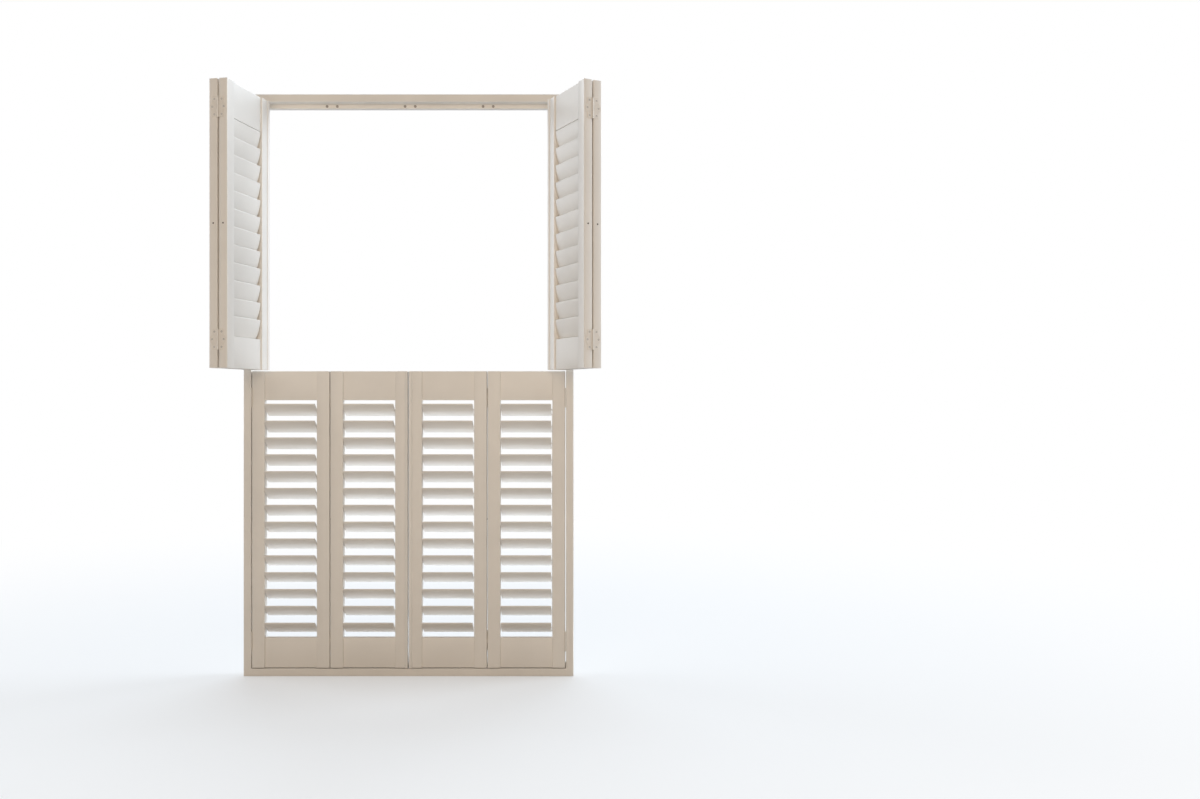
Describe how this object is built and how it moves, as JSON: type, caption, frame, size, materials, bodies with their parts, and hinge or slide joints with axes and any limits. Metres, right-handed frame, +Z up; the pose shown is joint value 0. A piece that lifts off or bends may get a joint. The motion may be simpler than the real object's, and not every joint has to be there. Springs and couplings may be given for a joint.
{
  "type": "tier-on-tier louvred window shutters",
  "caption": "Tier-on-tier louvred window shutters in a mitred frame, hinged in folding pairs, with tilting louvres; lower tier closed, upper tier folded open.",
  "frame": {"origin": "under the middle of the bottom frame member, halfway through the frame's depth", "axes": "+X along the window to the right seen from the room, +Y from the room to the glass, +Z up"},
  "size_m": [1.1985, 0.3178, 1.924],
  "materials": {
    "frame_paint": "satin paint",
    "louvre_paint": "satin paint",
    "hinge_paint": "satin",
    "magnet_face": "satin",
    "tilt_strip": "satin"
  },
  "bodies": {
    "root": {"left_jamb": "frame_paint", "right_jamb": "frame_paint", "bottom_frame": "frame_paint", "head_frame": "frame_paint", "stop_strips": "frame_paint", "magnets": "magnet_face", "frame_hinge_leaves": "hinge_paint"},
    "lower_left_outer": {"lower_left_outer_panel": "frame_paint", "lower_left_outer_hinge_leaves": "hinge_paint"},
    "lower_left_inner": {"lower_left_inner_panel": "frame_paint", "lower_left_inner_hinge_leaves": "hinge_paint"},
    "lower_right_inner": {"lower_right_inner_panel": "frame_paint", "lower_right_inner_hinge_leaves": "hinge_paint", "lower_right_inner_louvres": "louvre_paint"},
    "lower_right_outer": {"lower_right_outer_panel": "frame_paint", "lower_right_outer_hinge_leaves": "hinge_paint", "lower_right_outer_louvres": "louvre_paint"},
    "upper_left_outer": {"upper_left_outer_panel": "frame_paint", "upper_left_outer_hinge_leaves": "hinge_paint", "upper_left_outer_louvres": "louvre_paint"},
    "upper_left_inner": {"upper_left_inner_panel": "frame_paint", "upper_left_inner_hinge_leaves": "hinge_paint", "upper_left_inner_louvres": "louvre_paint"},
    "upper_right_inner": {"upper_right_inner_panel": "frame_paint", "upper_right_inner_hinge_leaves": "hinge_paint", "upper_right_inner_louvres": "louvre_paint"},
    "upper_right_outer": {"upper_right_outer_panel": "frame_paint", "upper_right_outer_hinge_leaves": "hinge_paint", "upper_right_outer_louvres": "louvre_paint"},
    "lower_left_outer_louvre_01": {"lower_left_outer_louvre_01": "louvre_paint"},
    "lower_left_outer_louvre_02": {"lower_left_outer_louvre_02": "louvre_paint"},
    "lower_left_outer_louvre_03": {"lower_left_outer_louvre_03": "louvre_paint"},
    "lower_left_outer_louvre_04": {"lower_left_outer_louvre_04": "louvre_paint"},
    "lower_left_outer_louvre_05": {"lower_left_outer_louvre_05": "louvre_paint"},
    "lower_left_outer_louvre_06": {"lower_left_outer_louvre_06": "louvre_paint"},
    "lower_left_outer_louvre_07": {"lower_left_outer_louvre_07": "louvre_paint"},
    "lower_left_outer_louvre_08": {"lower_left_outer_louvre_08": "louvre_paint"},
    "lower_left_outer_louvre_09": {"lower_left_outer_louvre_09": "louvre_paint"},
    "lower_left_outer_louvre_10": {"lower_left_outer_louvre_10": "louvre_paint"},
    "lower_left_outer_louvre_11": {"lower_left_outer_louvre_11": "louvre_paint"},
    "lower_left_outer_louvre_12": {"lower_left_outer_louvre_12": "louvre_paint"},
    "lower_left_outer_louvre_13": {"lower_left_outer_louvre_13": "louvre_paint"},
    "lower_left_outer_louvre_14": {"lower_left_outer_louvre_14": "louvre_paint"},
    "lower_left_outer_tilt_strip": {"lower_left_outer_tilt_strip": "tilt_strip"},
    "lower_left_inner_louvre_01": {"lower_left_inner_louvre_01": "louvre_paint"},
    "lower_left_inner_louvre_02": {"lower_left_inner_louvre_02": "louvre_paint"},
    "lower_left_inner_louvre_03": {"lower_left_inner_louvre_03": "louvre_paint"},
    "lower_left_inner_louvre_04": {"lower_left_inner_louvre_04": "louvre_paint"},
    "lower_left_inner_louvre_05": {"lower_left_inner_louvre_05": "louvre_paint"},
    "lower_left_inner_louvre_06": {"lower_left_inner_louvre_06": "louvre_paint"},
    "lower_left_inner_louvre_07": {"lower_left_inner_louvre_07": "louvre_paint"},
    "lower_left_inner_louvre_08": {"lower_left_inner_louvre_08": "louvre_paint"},
    "lower_left_inner_louvre_09": {"lower_left_inner_louvre_09": "louvre_paint"},
    "lower_left_inner_louvre_10": {"lower_left_inner_louvre_10": "louvre_paint"},
    "lower_left_inner_louvre_11": {"lower_left_inner_louvre_11": "louvre_paint"},
    "lower_left_inner_louvre_12": {"lower_left_inner_louvre_12": "louvre_paint"},
    "lower_left_inner_louvre_13": {"lower_left_inner_louvre_13": "louvre_paint"},
    "lower_left_inner_louvre_14": {"lower_left_inner_louvre_14": "louvre_paint"},
    "lower_left_inner_tilt_strip": {"lower_left_inner_tilt_strip": "tilt_strip"}
  },
  "joints": [
    {"name": "lower_left_swing", "type": "hinge", "parent": "root", "child": "lower_left_outer", "pos_m": [-0.519, -0.02775, 0], "axis": [0, 0, -1], "range_deg": [0, 75]},
    {"name": "lower_left_fold", "type": "hinge", "parent": "lower_left_outer", "child": "lower_left_inner", "pos_m": [-0.26, 0.00475, 0], "axis": [0, 0, 1], "range_deg": [0, 135]},
    {"name": "lower_right_swing", "type": "hinge", "parent": "root", "child": "lower_right_outer", "pos_m": [0.519, -0.02775, 0], "axis": [0, 0, 1], "range_deg": [0, 75]},
    {"name": "lower_right_fold", "type": "hinge", "parent": "lower_right_outer", "child": "lower_right_inner", "pos_m": [0.26, 0.00475, 0], "axis": [0, 0, -1], "range_deg": [0, 135]},
    {"name": "upper_left_swing", "type": "hinge", "parent": "root", "child": "upper_left_outer", "pos_m": [-0.519, -0.02775, 0], "axis": [0, 0, -1], "range_deg": [-100, 0]},
    {"name": "upper_left_fold", "type": "hinge", "parent": "upper_left_outer", "child": "upper_left_inner", "pos_m": [-0.53197, -0.28846, 0], "axis": [0, 0, 1], "range_deg": [-180, 0]},
    {"name": "upper_right_swing", "type": "hinge", "parent": "root", "child": "upper_right_outer", "pos_m": [0.519, -0.02775, 0], "axis": [0, 0, 1], "range_deg": [-118, 0]},
    {"name": "upper_right_fold", "type": "hinge", "parent": "upper_right_outer", "child": "upper_right_inner", "pos_m": [0.6119, -0.27169, 0], "axis": [0, 0, -1], "range_deg": [-180, 0]},
    {"name": "lower_left_outer_tilt_01", "type": "hinge", "parent": "lower_left_outer", "child": "lower_left_outer_louvre_01", "pos_m": [0, -0.0115, 0.159], "axis": [1, 0, 0], "range_deg": [-38, 114]},
    {"name": "lower_left_outer_tilt_02", "type": "hinge", "parent": "lower_left_outer", "child": "lower_left_outer_louvre_02", "pos_m": [0, -0.0115, 0.2145], "axis": [1, 0, 0], "range_deg": [-38, 114]},
    {"name": "lower_left_outer_tilt_03", "type": "hinge", "parent": "lower_left_outer", "child": "lower_left_outer_louvre_03", "pos_m": [0, -0.0115, 0.27], "axis": [1, 0, 0], "range_deg": [-38, 114]},
    {"name": "lower_left_outer_tilt_04", "type": "hinge", "parent": "lower_left_outer", "child": "lower_left_outer_louvre_04", "pos_m": [0, -0.0115, 0.3255], "axis": [1, 0, 0], "range_deg": [-38, 114]},
    {"name": "lower_left_outer_tilt_05", "type": "hinge", "parent": "lower_left_outer", "child": "lower_left_outer_louvre_05", "pos_m": [0, -0.0115, 0.381], "axis": [1, 0, 0], "range_deg": [-38, 114]},
    {"name": "lower_left_outer_tilt_06", "type": "hinge", "parent": "lower_left_outer", "child": "lower_left_outer_louvre_06", "pos_m": [0, -0.0115, 0.4365], "axis": [1, 0, 0], "range_deg": [-38, 114]},
    {"name": "lower_left_outer_tilt_07", "type": "hinge", "parent": "lower_left_outer", "child": "lower_left_outer_louvre_07", "pos_m": [0, -0.0115, 0.492], "axis": [1, 0, 0], "range_deg": [-38, 114]},
    {"name": "lower_left_outer_tilt", "type": "hinge", "parent": "lower_left_outer", "child": "lower_left_outer_louvre_08", "pos_m": [0, -0.0115, 0.5475], "axis": [1, 0, 0], "range_deg": [-38, 114]},
    {"name": "lower_left_outer_tilt_09", "type": "hinge", "parent": "lower_left_outer", "child": "lower_left_outer_louvre_09", "pos_m": [0, -0.0115, 0.603], "axis": [1, 0, 0], "range_deg": [-38, 114]},
    {"name": "lower_left_outer_tilt_10", "type": "hinge", "parent": "lower_left_outer", "child": "lower_left_outer_louvre_10", "pos_m": [0, -0.0115, 0.6585], "axis": [1, 0, 0], "range_deg": [-38, 114]},
    {"name": "lower_left_outer_tilt_11", "type": "hinge", "parent": "lower_left_outer", "child": "lower_left_outer_louvre_11", "pos_m": [0, -0.0115, 0.714], "axis": [1, 0, 0], "range_deg": [-38, 114]},
    {"name": "lower_left_outer_tilt_12", "type": "hinge", "parent": "lower_left_outer", "child": "lower_left_outer_louvre_12", "pos_m": [0, -0.0115, 0.7695], "axis": [1, 0, 0], "range_deg": [-38, 114]},
    {"name": "lower_left_outer_tilt_13", "type": "hinge", "parent": "lower_left_outer", "child": "lower_left_outer_louvre_13", "pos_m": [0, -0.0115, 0.825], "axis": [1, 0, 0], "range_deg": [-38, 114]},
    {"name": "lower_left_outer_tilt_14", "type": "hinge", "parent": "lower_left_outer", "child": "lower_left_outer_louvre_14", "pos_m": [0, -0.0115, 0.8805], "axis": [1, 0, 0], "range_deg": [-38, 114]},
    {"name": "lower_left_outer_strip", "type": "hinge", "parent": "lower_left_outer_louvre_08", "child": "lower_left_outer_tilt_strip", "pos_m": [0, 0.0082, 0.53211], "axis": [1, 0, 0], "range_deg": [-114, 38]},
    {"name": "lower_left_inner_tilt_01", "type": "hinge", "parent": "lower_left_inner", "child": "lower_left_inner_louvre_01", "pos_m": [0, -0.0115, 0.159], "axis": [1, 0, 0], "range_deg": [-38, 114]},
    {"name": "lower_left_inner_tilt_02", "type": "hinge", "parent": "lower_left_inner", "child": "lower_left_inner_louvre_02", "pos_m": [0, -0.0115, 0.2145], "axis": [1, 0, 0], "range_deg": [-38, 114]},
    {"name": "lower_left_inner_tilt_03", "type": "hinge", "parent": "lower_left_inner", "child": "lower_left_inner_louvre_03", "pos_m": [0, -0.0115, 0.27], "axis": [1, 0, 0], "range_deg": [-38, 114]},
    {"name": "lower_left_inner_tilt_04", "type": "hinge", "parent": "lower_left_inner", "child": "lower_left_inner_louvre_04", "pos_m": [0, -0.0115, 0.3255], "axis": [1, 0, 0], "range_deg": [-38, 114]},
    {"name": "lower_left_inner_tilt_05", "type": "hinge", "parent": "lower_left_inner", "child": "lower_left_inner_louvre_05", "pos_m": [0, -0.0115, 0.381], "axis": [1, 0, 0], "range_deg": [-38, 114]},
    {"name": "lower_left_inner_tilt_06", "type": "hinge", "parent": "lower_left_inner", "child": "lower_left_inner_louvre_06", "pos_m": [0, -0.0115, 0.4365], "axis": [1, 0, 0], "range_deg": [-38, 114]},
    {"name": "lower_left_inner_tilt_07", "type": "hinge", "parent": "lower_left_inner", "child": "lower_left_inner_louvre_07", "pos_m": [0, -0.0115, 0.492], "axis": [1, 0, 0], "range_deg": [-38, 114]},
    {"name": "lower_left_inner_tilt", "type": "hinge", "parent": "lower_left_inner", "child": "lower_left_inner_louvre_08", "pos_m": [0, -0.0115, 0.5475], "axis": [1, 0, 0], "range_deg": [-38, 114]},
    {"name": "lower_left_inner_tilt_09", "type": "hinge", "parent": "lower_left_inner", "child": "lower_left_inner_louvre_09", "pos_m": [0, -0.0115, 0.603], "axis": [1, 0, 0], "range_deg": [-38, 114]},
    {"name": "lower_left_inner_tilt_10", "type": "hinge", "parent": "lower_left_inner", "child": "lower_left_inner_louvre_10", "pos_m": [0, -0.0115, 0.6585], "axis": [1, 0, 0], "range_deg": [-38, 114]},
    {"name": "lower_left_inner_tilt_11", "type": "hinge", "parent": "lower_left_inner", "child": "lower_left_inner_louvre_11", "pos_m": [0, -0.0115, 0.714], "axis": [1, 0, 0], "range_deg": [-38, 114]},
    {"name": "lower_left_inner_tilt_12", "type": "hinge", "parent": "lower_left_inner", "child": "lower_left_inner_louvre_12", "pos_m": [0, -0.0115, 0.7695], "axis": [1, 0, 0], "range_deg": [-38, 114]},
    {"name": "lower_left_inner_tilt_13", "type": "hinge", "parent": "lower_left_inner", "child": "lower_left_inner_louvre_13", "pos_m": [0, -0.0115, 0.825], "axis": [1, 0, 0], "range_deg": [-38, 114]},
    {"name": "lower_left_inner_tilt_14", "type": "hinge", "parent": "lower_left_inner", "child": "lower_left_inner_louvre_14", "pos_m": [0, -0.0115, 0.8805], "axis": [1, 0, 0], "range_deg": [-38, 114]},
    {"name": "lower_left_inner_strip", "type": "hinge", "parent": "lower_left_inner_louvre_08", "child": "lower_left_inner_tilt_strip", "pos_m": [0, 0.0082, 0.53211], "axis": [1, 0, 0], "range_deg": [-114, 38]}
  ],
  "couplings": [
    {"joint": "lower_left_fold", "follows": "lower_left_swing", "ratio": 1.8},
    {"joint": "lower_right_fold", "follows": "lower_right_swing", "ratio": 1.8},
    {"joint": "upper_left_fold", "follows": "upper_left_swing", "ratio": 1.8},
    {"joint": "upper_right_fold", "follows": "upper_right_swing", "ratio": 1.5254},
    {"joint": "lower_left_outer_tilt_01", "follows": "lower_left_outer_tilt", "ratio": 1},
    {"joint": "lower_left_outer_tilt_02", "follows": "lower_left_outer_tilt", "ratio": 1},
    {"joint": "lower_left_outer_tilt_03", "follows": "lower_left_outer_tilt", "ratio": 1},
    {"joint": "lower_left_outer_tilt_04", "follows": "lower_left_outer_tilt", "ratio": 1},
    {"joint": "lower_left_outer_tilt_05", "follows": "lower_left_outer_tilt", "ratio": 1},
    {"joint": "lower_left_outer_tilt_06", "follows": "lower_left_outer_tilt", "ratio": 1},
    {"joint": "lower_left_outer_tilt_07", "follows": "lower_left_outer_tilt", "ratio": 1},
    {"joint": "lower_left_outer_tilt_09", "follows": "lower_left_outer_tilt", "ratio": 1},
    {"joint": "lower_left_outer_tilt_10", "follows": "lower_left_outer_tilt", "ratio": 1},
    {"joint": "lower_left_outer_tilt_11", "follows": "lower_left_outer_tilt", "ratio": 1},
    {"joint": "lower_left_outer_tilt_12", "follows": "lower_left_outer_tilt", "ratio": 1},
    {"joint": "lower_left_outer_tilt_13", "follows": "lower_left_outer_tilt", "ratio": 1},
    {"joint": "lower_left_outer_tilt_14", "follows": "lower_left_outer_tilt", "ratio": 1},
    {"joint": "lower_left_outer_strip", "follows": "lower_left_outer_tilt", "ratio": -1},
    {"joint": "lower_left_inner_tilt_01", "follows": "lower_left_inner_tilt", "ratio": 1},
    {"joint": "lower_left_inner_tilt_02", "follows": "lower_left_inner_tilt", "ratio": 1},
    {"joint": "lower_left_inner_tilt_03", "follows": "lower_left_inner_tilt", "ratio": 1},
    {"joint": "lower_left_inner_tilt_04", "follows": "lower_left_inner_tilt", "ratio": 1},
    {"joint": "lower_left_inner_tilt_05", "follows": "lower_left_inner_tilt", "ratio": 1},
    {"joint": "lower_left_inner_tilt_06", "follows": "lower_left_inner_tilt", "ratio": 1},
    {"joint": "lower_left_inner_tilt_07", "follows": "lower_left_inner_tilt", "ratio": 1},
    {"joint": "lower_left_inner_tilt_09", "follows": "lower_left_inner_tilt", "ratio": 1},
    {"joint": "lower_left_inner_tilt_10", "follows": "lower_left_inner_tilt", "ratio": 1},
    {"joint": "lower_left_inner_tilt_11", "follows": "lower_left_inner_tilt", "ratio": 1},
    {"joint": "lower_left_inner_tilt_12", "follows": "lower_left_inner_tilt", "ratio": 1},
    {"joint": "lower_left_inner_tilt_13", "follows": "lower_left_inner_tilt", "ratio": 1},
    {"joint": "lower_left_inner_tilt_14", "follows": "lower_left_inner_tilt", "ratio": 1},
    {"joint": "lower_left_inner_strip", "follows": "lower_left_inner_tilt", "ratio": -1}
  ]
}
